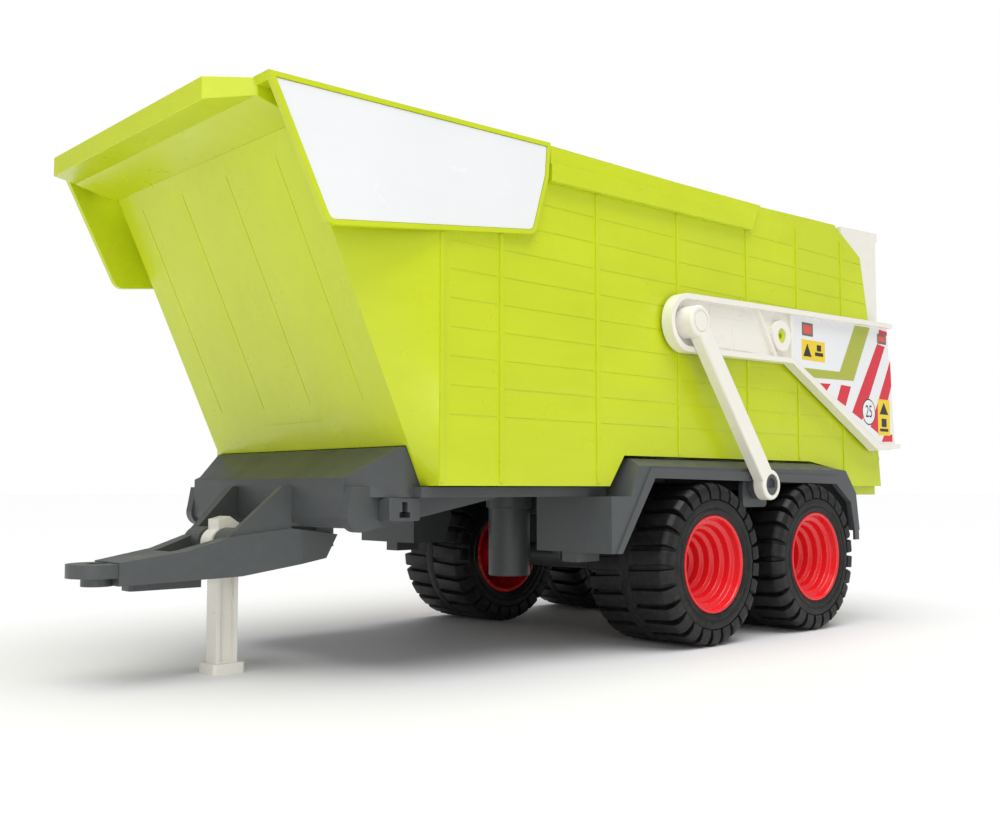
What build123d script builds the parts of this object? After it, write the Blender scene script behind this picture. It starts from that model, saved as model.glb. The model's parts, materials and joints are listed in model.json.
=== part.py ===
"""Toy tipping farm trailer on a twin-axle bogie.  Millimetres, +X towards the hitch, +Y left, +Z up.

x = 0 is the middle of the overall length, y = 0 the centreline and z = 0 the ground.
"""
from build123d import *
from math import atan2, degrees, hypot
import os

os.makedirs("parts", exist_ok=True)

# ---------------------------------------------------------------- driving dimensions
bogie_x = -69.5            # midway between the two axles
axle_gap = 73.4            # axle to axle
tyre_radius = 31.5
tyre_width = 40.2
tyre_inner_y = 37.6        # inner shoulder of the left tyres
rim_radius = 18.4
axle_radius = 2.0
hub_out_y = 52.0           # outer end of the wheel hubs
running = 0.06             # radial clearance of a shaft that turns in its hole
seat_gap = 0.3             # gap between faces that move past each other

wall_y = 69.15             # outer face of the tub's side walls
wall = 2.0                 # moulded wall
skirt_z = 61.5             # lower edge of the side walls
floor_z = 74.25            # underside of the load floor
front_rib_x = bogie_x + 169.1
joint_x = front_rib_x - 4.6      # side walls meet the front wall's returns here
front_half_y = wall_y - 9.35     # half width of the leaning front wall
front_foot_x = bogie_x + 167.9   # front wall's outer face at the skirt height
front_lean = 0.461         # run forward per unit of height
tub_top_z = 176.8          # top of the front wall
foot_gap_y = wall_y - 10.55      # half width of the gap under the front wall

rib_width = 1.6
rib_height = 0.5
plank_pitch = 9.3
plank_depth = 0.14

hinge_x = bogie_x - 78.0   # tipping hinge
hinge_z = 61.5
hinge_pin_radius = 2.0
rail_y = 22.0              # inner face of the chassis rails
rail_thick = 5.0
rail_low_z = 58.0
rail_high_z = floor_z - 0.35
deck_low_z = 57.8
deck_high_z = 61.2
deck_y = wall_y - 6.15
deck_rear_x = bogie_x + 83.5

gate_pivot_x = bogie_x - 16.1
gate_pivot_z = 125.5
gate_pin_radius = 3.1
cheek_y = wall_y + 1.45    # inner face of the tailgate cheeks
cheek_plate = 2.0
cheek_depth = 4.8
link_top_x = bogie_x + 48.4
link_top_z = 124.5
link_foot_x = bogie_x + 1.8
link_foot_z = 62.2
link_y = cheek_y + 5.2     # inner face of the link bars
link_thick = 4.9
link_width = 7.8
link_eye_radius = 6.2
link_pin_radius = 4.3
open_pivot_gap = 0.9       # slack of the cheek stub in the link's blind socket
bracket_y = cheek_y + 1.6  # outer face of the link-pin brackets

guard_y = link_y - 0.8     # outer face of the mudguard lips
guard_in_y = 37.0
guard_wall = 2.0
guard_top_z = 71.7
outrigger_z = guard_top_z - guard_wall   # cross bars that carry the mudguards end here
bracket_thick = 2.2

hitch_x = bogie_x + 247.5
hitch_radius = 9.25
hitch_bore = 3.2
hitch_low_z = 33.5
hitch_high_z = 37.7
leg_x = bogie_x + 206.2
leg_z = 42.7
leg_pin_radius = 1.8
tube_x = bogie_x + 186.2
tube_z = 52.0
tube_radius = 4.0
beam_y = foot_gap_y - 10.6       # inner face of the tapered side beams
beam_thick = 4.0
nose_x = bogie_x + 190.2   # front face of the cross member
arm_y = 21.0               # outer half width of the drawbar at its rear end
arm_thick = 3.5
leg_hub_half = 5.0         # half width of the leg's hub between the arms' bosses
leg_pin_reach = 15.0       # half length of the leg pin, held in blind holes
dowel_x = bogie_x + 176.5
dowel_z = 43.0
dowel_radius = 1.2
dowel_cover = 1.0          # plastic left over the dowel's blind holes


def keep(builder, node):
    """Label a finished piece and write it under its node's name."""
    builder.part.label = node
    export_step(builder.part, f"parts/{node}.step")


def both_sides(builder, name):
    """Write a left-hand piece and its mirror image."""
    keep(builder, f"{name}_left")
    with BuildPart() as right:
        add(builder.part)
        mirror(about=Plane.XZ, mode=Mode.REPLACE)
    keep(right, f"{name}_right")


def front_plane_x(z):
    """X of the front wall's outer face at height z."""
    return front_foot_x + front_lean * (z - skirt_z)


def outline(points, mode=Mode.ADD):
    """A closed face on the current sketch."""
    Polygon(*points, align=None, mode=mode)


def shifted(points):
    """Side-view points given from the bogie's middle, moved into the part's frame."""
    return [(bogie_x + x, z) for x, z in points]


def side_plane(y):
    """Sketch plane at y with x forwards and y upwards; a positive extrusion runs towards -Y."""
    return Plane(origin=(0, y, 0), x_dir=(1, 0, 0), z_dir=(0, -1, 0))


def height_on(points, x):
    """Height at x of the straight line through two points."""
    (xa, za), (xb, zb) = points
    return za + (zb - za) * (x - xa) / (xb - xa)


# ---------------------------------------------------------------- wheels
def tyre_section():
    tread = 1.6
    shoulder = 5.0
    bulge = 1.4
    y0 = tyre_inner_y
    y1 = tyre_inner_y + tyre_width
    outline([
        (y0 + bulge, rim_radius), (y0, rim_radius + 6.0), (y0, tyre_radius - shoulder),
        (y0 + tread, tyre_radius - tread), (y0 + shoulder, tyre_radius),
        (y1 - shoulder, tyre_radius), (y1 - tread, tyre_radius - tread),
        (y1, tyre_radius - shoulder), (y1, rim_radius + 6.0), (y1 - bulge, rim_radius)])


def rim_section():
    """Funnel of rounded steps that leads inwards to a small pocket round the axle's end."""
    y0 = tyre_inner_y
    face = tyre_inner_y + tyre_width - 0.6
    bead = rim_radius - 1.6
    step_in = 2.0
    step_deep = 3.5
    hub_radius = 4.4
    dish = [(face, rim_radius - 0.9), (face - 3.4, bead)]
    for i in range(5):
        radius = bead - step_in * (i + 1)
        deep = face - 3.4 - step_deep * i
        dish += [(deep, radius), (deep - step_deep, radius)]
    end = dish[-1][0]
    outline(
        [(y0, axle_radius + running), (hub_out_y, axle_radius + running), (hub_out_y, hub_radius),
         (end, hub_radius)]
        + dish[::-1]
        + [(face, rim_radius + 0.8), (face - 0.5, rim_radius + 0.8), (face - 0.8, rim_radius),
           (y0 + 1.4, rim_radius), (y0 + 1.4, bead), (face - 10.2, bead), (end - 3.0, hub_radius * 2),
           (end - 10.0, hub_radius + 0.5), (y0, hub_radius + 0.5)])


def make_wheels():
    with BuildPart() as tyre:
        with BuildSketch(Plane.YZ):
            tyre_section()
        revolve(axis=Axis.Y)
    with BuildPart() as rim:
        with BuildSketch(Plane.YZ):
            rim_section()
        revolve(axis=Axis.Y)
    for end, sign in (("front", 1), ("rear", -1)):
        place = Location((bogie_x + sign * axle_gap / 2, 0, tyre_radius))
        for name, piece in (("tyre", tyre), ("rim", rim)):
            with BuildPart() as placed:
                add(piece.part.moved(place))
            both_sides(placed, f"{name}_{end}")


def make_axles():
    stub = 4.0
    cap_radius = 3.6
    cap_thick = 2.6
    for end, sign in (("front", 1), ("rear", -1)):
        x = bogie_x + sign * axle_gap / 2
        with BuildPart() as axle:
            with BuildSketch(Plane(origin=(x, 0, tyre_radius), z_dir=(0, 1, 0))):
                Circle(axle_radius)
            extrude(amount=hub_out_y + stub, both=True)
            chamfer(axle.edges(), 0.4)
        keep(axle, f"axle_{end}")
    with BuildPart() as caps:
        for x in (bogie_x - axle_gap / 2, bogie_x + axle_gap / 2):
            for side in (1, -1):
                place = Plane(origin=(x, side * (hub_out_y + seat_gap), tyre_radius), z_dir=(0, side, 0))
                with BuildSketch(place):
                    Circle(cap_radius)
                    Circle(axle_radius, mode=Mode.SUBTRACT)
                extrude(amount=cap_thick)
    keep(caps, "axle_caps")


# ---------------------------------------------------------------- tub
side_top = [(120.9, 180.1), (-11.2, 181.2), (-51.4, 182.7), (-70.5, 183.3)]
side_rear = [(-93.7, 171.1), (-100.3, 141.8), (-109.4, 61.9)]
side_arch = [(-75.7, 61.9), (-67.1, 69.7), (-46.0, 72.75), (80.4, 72.75), (88.5, skirt_z)]
side_ribs = [142.5, 95.0, 48.0, 1.1, -37.5, -75.4]
shield_top = [(233.0, 176.6), (120.9, 180.1)]
shield_low = [(212.5, 136.4), (128.3, 146.9)]
shield_rear = (122.0, 167.6)
rail_low_edge = [(120.5, 166.7), (-0.2, 169.1)]


def rib_top(x):
    """Where a rib ends below the shield, the top rail or the wall's top edge."""
    if x > shield_low[1][0]:
        return height_on(shield_low, x) - 0.2
    if x > rail_low_edge[1][0]:
        return height_on(rail_low_edge, x) - 0.2
    return 176.0


def rib_foot(x):
    return 73.6 if side_arch[2][0] < x < side_arch[3][0] else skirt_z + 1.2


def make_side_walls():
    joint = joint_x - bogie_x
    bays = [-101.0] + sorted(side_ribs) + [joint + 3.0]
    with BuildPart() as panel:
        with BuildSketch(side_plane(wall_y)):
            outline(shifted([(joint, height_on(shield_top, joint))] + side_top + side_rear + side_arch
                            + [(joint, skirt_z)]))
        extrude(amount=wall)
        for left, right in zip(bays[:-1], bays[1:]):
            middle = (left + right) / 2
            count = int((rib_top(middle) - 86.0) / plank_pitch)
            with BuildSketch(side_plane(wall_y)):
                with Locations((bogie_x + middle, 84.0 + plank_pitch * count / 2)):
                    with GridLocations(1, plank_pitch, 1, count + 1):
                        Rectangle(right - left - 3.6, 0.5)
            extrude(amount=plank_depth, mode=Mode.SUBTRACT)
        for x in side_ribs:
            with BuildSketch(side_plane(wall_y + rib_height)):
                with Locations((bogie_x + x, (rib_foot(x) + rib_top(x)) / 2)):
                    Rectangle(rib_width, rib_top(x) - rib_foot(x))
            extrude(amount=rib_height)
        with BuildSketch(side_plane(wall_y + 1)):
            with Locations((gate_pivot_x, gate_pivot_z)):
                Circle(gate_pin_radius - 0.7)
        extrude(amount=wall + 2, mode=Mode.SUBTRACT)
    both_sides(panel, "tub_side")


def front_section(z, inset):
    """Plan outline of the tub's front at height z, inset by a wall."""
    lean = inset * 1.1
    x = front_plane_x(z) - lean
    y = front_half_y - inset * 0.8
    edge = wall_y - inset
    root = joint_x - inset
    bend = front_rib_x - lean
    return [(root, -edge), (bend, -edge), (x, -y), (x, y), (bend, edge), (root, edge)]


def front_block(inset, low, high):
    with BuildPart() as block:
        for z in (low, high):
            with BuildSketch(Plane.XY.offset(z)):
                outline(front_section(z, inset))
        loft(ruled=True)
    return block.part


def make_front_wall():
    groove = 0.14
    with BuildPart() as front:
        add(front_block(0.0, skirt_z, tub_top_z))
        add(front_block(wall, skirt_z - 1, tub_top_z + 1), mode=Mode.SUBTRACT)
        with BuildSketch(Plane.XY.offset(skirt_z - 1)):
            with Locations((front_foot_x, 0)):
                Rectangle(30, 2 * foot_gap_y)
        extrude(amount=floor_z - skirt_z + 1, mode=Mode.SUBTRACT)
        middle = (floor_z + tub_top_z) / 2
        face = Plane(origin=(front_plane_x(middle), 0, middle), x_dir=(0, 1, 0), z_dir=(1, 0, -front_lean))
        with BuildSketch(face):
            with GridLocations(30.0, 1, 4, 1):
                Rectangle(0.5, 80.0)
            with Locations((0, -46.0)):
                Rectangle(36.0, 0.5)
        extrude(amount=-groove, mode=Mode.SUBTRACT)
        for side in (1, -1):
            with BuildSketch(side_plane(side * (wall_y + rib_height / 2) + rib_height / 2)):
                with Locations((front_rib_x - 0.9, (skirt_z + 1.2 + rib_top(169.1)) / 2)):
                    Rectangle(rib_width, rib_top(169.1) - skirt_z - 1.2)
            extrude(amount=rib_height)
    keep(front, "tub_front_wall")


def make_floor():
    rear_x = bogie_x - 109.2
    box_front = hinge_x - 6.0
    box_half = wall_y - 3.15
    box_low = 57.8
    lug_in = rail_y + rail_thick + seat_gap
    lug_thick = 5.0
    lug_radius = 4.6
    edge = wall_y - wall
    bend = front_rib_x - wall * 1.1 - 0.2
    nose = front_plane_x(floor_z) - wall * 1.1 - 0.6
    nose_half = front_half_y - wall * 0.8 - 0.4
    with BuildPart() as floor:
        with BuildSketch(Plane.XY.offset(floor_z)):
            outline([(rear_x - 3.0, -edge), (bend, -edge), (nose, -nose_half),
                     (nose, nose_half), (bend, edge), (rear_x - 3.0, edge)])
        extrude(amount=wall)
        with BuildSketch(Plane.XY.offset(box_low)):
            with Locations(((rear_x + box_front) / 2, 0)):
                Rectangle(box_front - rear_x, 2 * box_half)
                Rectangle(box_front - rear_x - 2 * wall, 2 * (box_half - wall), mode=Mode.SUBTRACT)
        extrude(amount=floor_z - box_low)
        for inner in (lug_in, -lug_in - lug_thick):
            with BuildSketch(side_plane(inner + lug_thick)):
                with Locations((hinge_x, hinge_z)):
                    Circle(lug_radius)
                outline([(hinge_x, hinge_z - lug_radius), (box_front - wall, hinge_z - lug_radius + 1),
                         (box_front - wall, floor_z), (hinge_x + 3.0, floor_z),
                         (hinge_x + lug_radius, hinge_z)])
            extrude(amount=lug_thick)
        with BuildSketch(side_plane(wall_y)):
            with Locations((hinge_x, hinge_z)):
                Circle(hinge_pin_radius + running)
        extrude(amount=2 * wall_y, mode=Mode.SUBTRACT)
    keep(floor, "tub_floor")


hood_front_x = 243.6
hood_front_y = front_half_y - 6.6
hood_side_x = 231.5
hood_side_y = wall_y - 5.95
hood_high_z = 177.0
hood_under = [(190.0, 161.1), (219.2, 168.4), (232.0, 171.6), (243.6, 170.2)]


def hood_plan(inset):
    """Plan outline of the visor, inset by a wall."""
    nose = bogie_x + hood_front_x - inset
    cheek = bogie_x + hood_side_x - inset * 0.4
    back = bogie_x + 190.0 - inset
    return [(back, -hood_side_y + inset), (cheek, -hood_side_y + inset),
            (nose, -hood_front_y + inset * 0.4), (nose, hood_front_y - inset * 0.4),
            (cheek, hood_side_y - inset), (back, hood_side_y - inset)]


def hood_block(inset, low, high):
    """Everything inside the visor's plan outline and above its underside."""
    with BuildPart() as block:
        with BuildSketch(Plane.XY.offset(low)):
            outline(hood_plan(inset))
        extrude(amount=high - low)
        with BuildSketch(side_plane(2 * hood_side_y)):
            outline(shifted([(150.0, 100.0), (150.0, hood_under[0][1] + inset)]
                            + [(x, z + inset) for x, z in hood_under]
                            + [(300.0, hood_under[-1][1] + inset), (300.0, 100.0)]))
        extrude(amount=4 * hood_side_y, mode=Mode.SUBTRACT)
    return block.part


def make_hood():
    low = 150.0
    with BuildPart() as hood:
        add(hood_block(0.0, low, hood_high_z))
        add(hood_block(wall, low, hood_high_z + 5), mode=Mode.SUBTRACT)
        with BuildSketch(side_plane(2 * hood_side_y)):
            outline([(front_plane_x(low), low), (front_plane_x(190.0), 190.0),
                     (bogie_x + 150.0, 190.0), (bogie_x + 150.0, low)])
        extrude(amount=4 * hood_side_y, mode=Mode.SUBTRACT)
        for y in (-40.0, -13.0, 13.0, 40.0):
            with BuildSketch(side_plane(y + 0.75)):
                outline([(front_plane_x(169.5), 169.5), (front_plane_x(175.0), 175.0),
                         (bogie_x + hood_front_x - 1, 175.0), (bogie_x + hood_front_x - 1, 171.4),
                         (bogie_x + hood_under[2][0], hood_under[2][1] + 1)])
            extrude(amount=1.5)
    keep(hood, "tub_hood")


def shield_face():
    """Rounded face outline of a side shield on the current sketch."""
    radius = 4.0
    with BuildSketch(mode=Mode.PRIVATE) as face:
        outline(shifted([shield_top[0], shield_low[0], shield_low[1], shield_rear, shield_top[1]]))
        for x, z in shield_low:
            fillet(face.vertices().sort_by_distance((bogie_x + x, z, 0))[0], radius)
    return face


def make_shields():
    stand = 2.25
    rim = 1.5
    sink = 0.7
    sheet = 0.4
    face = shield_face()
    with BuildPart() as shield:
        with BuildSketch(side_plane(wall_y + stand)):
            add(face.sketch)
        extrude(amount=stand)
        with BuildSketch(side_plane(wall_y + stand)):
            add(face.sketch)
            offset(amount=-rim)
        extrude(amount=sink, mode=Mode.SUBTRACT)
        with BuildSketch(side_plane(wall_y)):
            outline(shifted([(222.0, 176.9), (233.0, 176.6), (232.0, 174.4), (222.0, 174.7)]))
        extrude(amount=wall_y - hood_side_y)
    both_sides(shield, "shield")
    with BuildPart() as panel:
        with BuildSketch(side_plane(wall_y + stand - sink + sheet)):
            add(face.sketch)
            offset(amount=-rim - 0.15)
        extrude(amount=sheet)
    both_sides(panel, "shield_panel")


def make_top_rails():
    stand = 1.8
    ledge = 0.9
    upper = [(120.5, 178.7), (-8.0, 181.1)]
    middle = [(120.5, 173.2), (-3.6, 175.5)]
    with BuildPart() as rail:
        with BuildSketch(side_plane(wall_y + stand)):
            outline(shifted([upper[0], upper[1], rail_low_edge[1], rail_low_edge[0]]))
        extrude(amount=stand)
        with BuildSketch(side_plane(wall_y + stand + ledge)):
            outline(shifted([middle[0], middle[1], rail_low_edge[1], rail_low_edge[0]]))
        extrude(amount=ledge)
    both_sides(rail, "top_rail")


def make_gate_pivots():
    flange = 1.1
    pin = 4.2
    with BuildPart() as pivot:
        with BuildSketch(side_plane(wall_y)):
            with Locations((gate_pivot_x, gate_pivot_z)):
                Circle(gate_pin_radius - 0.7)
        extrude(amount=wall)
        with BuildSketch(side_plane(wall_y + flange)):
            with Locations((gate_pivot_x, gate_pivot_z)):
                Circle(5.4)
        extrude(amount=flange)
        with BuildSketch(side_plane(wall_y + flange + pin)):
            with Locations((gate_pivot_x, gate_pivot_z)):
                Circle(gate_pin_radius)
                Circle(1.3, mode=Mode.SUBTRACT)
        extrude(amount=pin)
    both_sides(pivot, "gate_pivot")


# ---------------------------------------------------------------- tailgate
gate_back = [(-113.4, 141.0), (-116.9, 79.5)]
gate_front = [(-114.4, 79.5), (-110.9, 141.0)]
wing_shape = [(-80.9, 184.7), (-112.5, 186.5), (-112.5, 141.0), (-114.5, 105.0), (-102.0, 105.0),
              (-91.0, 140.0), (-83.0, 165.0)]


def make_gate_panel():
    top = 186.5
    wing_out = wall_y - wall - 0.45
    rib = 0.9
    with BuildPart() as panel:
        with BuildSketch(side_plane(cheek_y)):
            outline(shifted(gate_back + gate_front))
        extrude(amount=2 * cheek_y)
        with BuildSketch(side_plane(wing_out)):
            outline(shifted([(-113.4, 141.0), (-113.4, top), (-110.9, top), (-110.9, 141.0)]))
        extrude(amount=2 * wing_out)
        for y in (wing_out, wall - wing_out):
            with BuildSketch(side_plane(y)):
                outline(shifted(wing_shape))
            extrude(amount=wall)
        with BuildSketch(Plane(origin=(bogie_x - 113.4, 0, 163.0), x_dir=(0, 1, 0), z_dir=(-1, 0, 0))):
            with GridLocations(36.0, 1, 4, 1):
                Rectangle(3.0, 38.0)
        extrude(amount=rib)
        with BuildSketch(Plane(origin=(bogie_x - 113.4, 0, 184.5), x_dir=(0, 1, 0), z_dir=(-1, 0, 0))):
            Rectangle(2 * wing_out, 4.0)
        extrude(amount=2 * rib)
    keep(panel, "gate_panel")


cheek_tail = [(-111.7, 140.3), (-117.75, 80.2), (-96.0, 78.5), (-23.6, 114.4)]
cheek_nose = 11.4


def cheek_face():
    with BuildSketch(mode=Mode.PRIVATE) as face:
        with Locations((link_top_x, link_top_z)):
            Circle(cheek_nose)
        outline([(link_top_x, link_top_z + cheek_nose)] + shifted(cheek_tail)
                + [(link_top_x, link_top_z - cheek_nose)])
    return face


def slanted_rib(start, end, width):
    """Thin bar between two side-view points on the current sketch."""
    run = end[0] - start[0]
    rise = end[1] - start[1]
    middle = Location((start[0] + run / 2, start[1] + rise / 2), degrees(atan2(rise, run)))
    with Locations(middle):
        Rectangle(hypot(run, rise), width)


def make_cheeks():
    flange = 2.2
    boss_radius = 6.6
    stub_radius = link_pin_radius - open_pivot_gap
    stub = 4.4
    face = cheek_face()
    with BuildPart() as cheek:
        with BuildSketch(side_plane(cheek_y + cheek_depth)):
            add(face.sketch)
        extrude(amount=cheek_depth)
        with BuildSketch(side_plane(cheek_y + cheek_depth)):
            add(face.sketch)
            offset(amount=-flange)
            outline(shifted([(-100.0, 137.6), (-118.0, 138.1), (-124.0, 82.3), (-100.0, 82.3)]))
        extrude(amount=cheek_depth - cheek_plate, mode=Mode.SUBTRACT)
        with BuildSketch(side_plane(cheek_y + cheek_depth - 1.0)):
            with Locations((bogie_x - 25.0, 126.5)):
                Rectangle(1.6, 22.0)
            slanted_rib((bogie_x - 13.4, 115.5), (bogie_x + 0.8, 136.0), 1.6)
        extrude(amount=cheek_depth - 1.0)
        with BuildSketch(side_plane(cheek_y + cheek_plate + 0.3)):
            with Locations((bogie_x + 17.5, 131.4)):
                Rectangle(29.0, 3.8)
            with Locations((bogie_x + 25.0, 121.8), (bogie_x + 9.5, 121.8)):
                Rectangle(14.0, 9.6)
        extrude(amount=1.0)
        with BuildSketch(side_plane(cheek_y + cheek_depth - 0.3)):
            with Locations((gate_pivot_x, gate_pivot_z)):
                Circle(boss_radius)
        extrude(amount=cheek_depth - 0.3)
        with BuildSketch(side_plane(cheek_y + cheek_plate + stub)):
            with Locations((link_top_x, link_top_z)):
                Circle(stub_radius)
        extrude(amount=stub)
        with BuildSketch(side_plane(cheek_y + cheek_depth)):
            with Locations((gate_pivot_x, gate_pivot_z)):
                Circle(gate_pin_radius + running)
        extrude(amount=cheek_depth, mode=Mode.SUBTRACT)
    both_sides(cheek, "gate_cheek")


def make_links():
    socket_floor = cheek_y + 6.9
    hub_in = cheek_y + 2.4
    outer = link_y + link_thick
    with BuildPart() as link:
        with BuildSketch(side_plane(outer)):
            slanted_rib((link_foot_x, link_foot_z), (link_top_x, link_top_z), link_width)
            with Locations((link_foot_x, link_foot_z), (link_top_x, link_top_z)):
                Circle(link_eye_radius)
        extrude(amount=link_thick)
        fillet(link.faces().sort_by(Axis.Y)[-1].edges(), 1.0)
        with BuildSketch(side_plane(link_y)):
            with Locations((link_top_x, link_top_z)):
                Circle(link_eye_radius)
        extrude(amount=link_y - hub_in)
        with BuildSketch(side_plane(socket_floor)):
            with Locations((link_top_x, link_top_z)):
                Circle(link_pin_radius)
        extrude(amount=socket_floor - hub_in, mode=Mode.SUBTRACT)
        with BuildSketch(side_plane(outer)):
            with Locations((link_foot_x, link_foot_z)):
                Circle(link_pin_radius + running)
        extrude(amount=link_thick, mode=Mode.SUBTRACT)
        with BuildSketch(side_plane(outer)):
            with Locations((link_top_x, link_top_z)):
                Circle(4.4)
                Circle(3.7, mode=Mode.SUBTRACT)
        extrude(amount=0.4, mode=Mode.SUBTRACT)
    both_sides(link, "link_arm")


# ---------------------------------------------------------------- chassis
wedge_top = [(170.0, 73.9), (174.75, 73.9), (187.95, 65.0), (190.2, 64.0)]


nose_face = [(166.0, deck_low_z), (166.0, 73.9)] + wedge_top[1:] + [(190.2, tube_z), (187.4, deck_low_z)]
nose_hollow = [(168.5, 40.0), (168.5, 71.0), (173.6, 71.0), (187.4, 61.5), (187.4, 40.0)]
nose_wall = 2.0


def nose_block(inset, section):
    """Side-view section of the frame's nose, tapered in plan and inset by a wall."""
    half = foot_gap_y - 0.4 - inset
    bend = bogie_x + 174.75 - inset / 2
    tip = bogie_x + 187.95 - inset / 2
    with BuildPart() as block:
        with BuildSketch(side_plane(half)):
            outline(shifted(section))
        extrude(amount=2 * half)
        with BuildSketch(Plane.XY.offset(30)):
            outline([(bogie_x + 160.0, half), (bend, half), (tip, beam_y - inset),
                     (bogie_x + 200.0, beam_y - inset), (bogie_x + 200.0, inset - beam_y),
                     (tip, inset - beam_y), (bend, -half), (bogie_x + 160.0, -half)])
        extrude(amount=60, mode=Mode.INTERSECT)
    return block.part


def nose_shell():
    with BuildPart() as shell:
        add(nose_block(0.0, nose_face))
        add(nose_block(nose_wall, nose_hollow), mode=Mode.SUBTRACT)
    return shell.part


def make_chassis_frame():
    rear_cut = bogie_x + 164.0
    with BuildPart() as frame:
        with BuildSketch(Plane.XY.offset(deck_low_z)):
            with Locations(((deck_rear_x + bogie_x + 171.0) / 2, 0)):
                Rectangle(bogie_x + 171.0 - deck_rear_x, 2 * deck_y)
            with Locations(((bogie_x + 57.5 + deck_rear_x) / 2, 0)):
                Rectangle(deck_rear_x - bogie_x - 57.5, 2 * (rail_y + rail_thick))
        extrude(amount=deck_high_z - deck_low_z)
        for y in (rail_y + rail_thick, -rail_y):
            with BuildSketch(side_plane(y)):
                outline([(hinge_x, hinge_z - 4.6), (hinge_x, hinge_z + 4.6), (hinge_x + 7.5, rail_high_z),
                         (rear_cut, rail_high_z), (rear_cut, rail_low_z), (hinge_x + 9.0, rail_low_z)])
                with Locations((hinge_x, hinge_z)):
                    Circle(4.6)
            extrude(amount=rail_thick)
        add(nose_shell())
        with BuildSketch(side_plane(beam_y)):
            with Locations((tube_x, tube_z)):
                Circle(tube_radius)
        extrude(amount=2 * beam_y)
        for y in (beam_y + beam_thick, -beam_y):
            with BuildSketch(side_plane(y)):
                outline([(tube_x, tube_z - 5.1), (tube_x + 5.1, tube_z), (tube_x + 3.4, deck_high_z),
                         (bogie_x + 127.5, deck_high_z), (bogie_x + 127.5, deck_low_z - 0.2)])
                with Locations((tube_x, tube_z)):
                    Circle(5.1)
            extrude(amount=beam_thick)
        for x in (45.5, 1.8, -40.5):
            with BuildSketch(Plane.XY.offset(outrigger_z - 3.0)):
                with Locations((bogie_x + x, 0)):
                    Rectangle(9.0, 2 * (bracket_y - bracket_thick))
            extrude(amount=3.0)
        with BuildSketch(Plane.XY.offset(60.0)):
            with Locations((link_foot_x, 0)):
                Rectangle(3.0, 2 * (bracket_y - bracket_thick))
        extrude(amount=outrigger_z - 60.0)
        for y in (bracket_y, bracket_thick - bracket_y):
            with BuildSketch(side_plane(y)):
                with Locations((link_foot_x, 58.6)):
                    RectangleRounded(17.0, 11.0, 2.0)
                with Locations((link_foot_x, 65.5)):
                    Rectangle(9.0, 6.4)
            extrude(amount=bracket_thick)
        with BuildSketch(side_plane(rail_y + rail_thick)):
            with Locations((hinge_x, hinge_z)):
                Circle(hinge_pin_radius)
        extrude(amount=2 * (rail_y + rail_thick), mode=Mode.SUBTRACT)
    keep(frame, "chassis_frame")


def make_side_lugs():
    """Keyhole lugs under the deck, outside the tapered beams."""
    low = 50.3
    width = 6.0
    with BuildPart() as lug:
        with BuildSketch(side_plane(beam_y + beam_thick + width)):
            with Locations((bogie_x + 173.4, (low + deck_low_z) / 2)):
                Rectangle(12.3, deck_low_z - low)
        extrude(amount=width)
        fillet(lug.edges().filter_by(Axis.Y), 1.0)
        with BuildSketch(side_plane(beam_y + beam_thick + width)):
            with Locations((bogie_x + 173.4, low + 3.8)):
                Rectangle(2.0, 4.4)
            with Locations((bogie_x + 173.4, low + 2.0)):
                Rectangle(4.2, 1.6)
        extrude(amount=width - 1.5, mode=Mode.SUBTRACT)
    both_sides(lug, "keyhole_lug")


guard_outer = [(93.75, 37.5), (93.75, deck_low_z), (83.0, deck_low_z), (77.5, guard_top_z),
               (-46.5, guard_top_z), (-67.5, 68.7), (-76.2, 58.5), (-78.8, 41.8)]
guard_open = [(91.2, 30.0), (88.7, 37.2), (69.8, 64.5), (-58.0, 62.8),
              (-70.3, 54.6), (-73.4, 41.8), (-73.8, 30.0)]
guard_lip = [(94.0, 30.0), (91.4, 37.5), (71.85, 68.4), (-59.5, 66.3),
             (-74.0, 56.85), (-77.0, 41.8), (-77.3, 30.0)]


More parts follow.
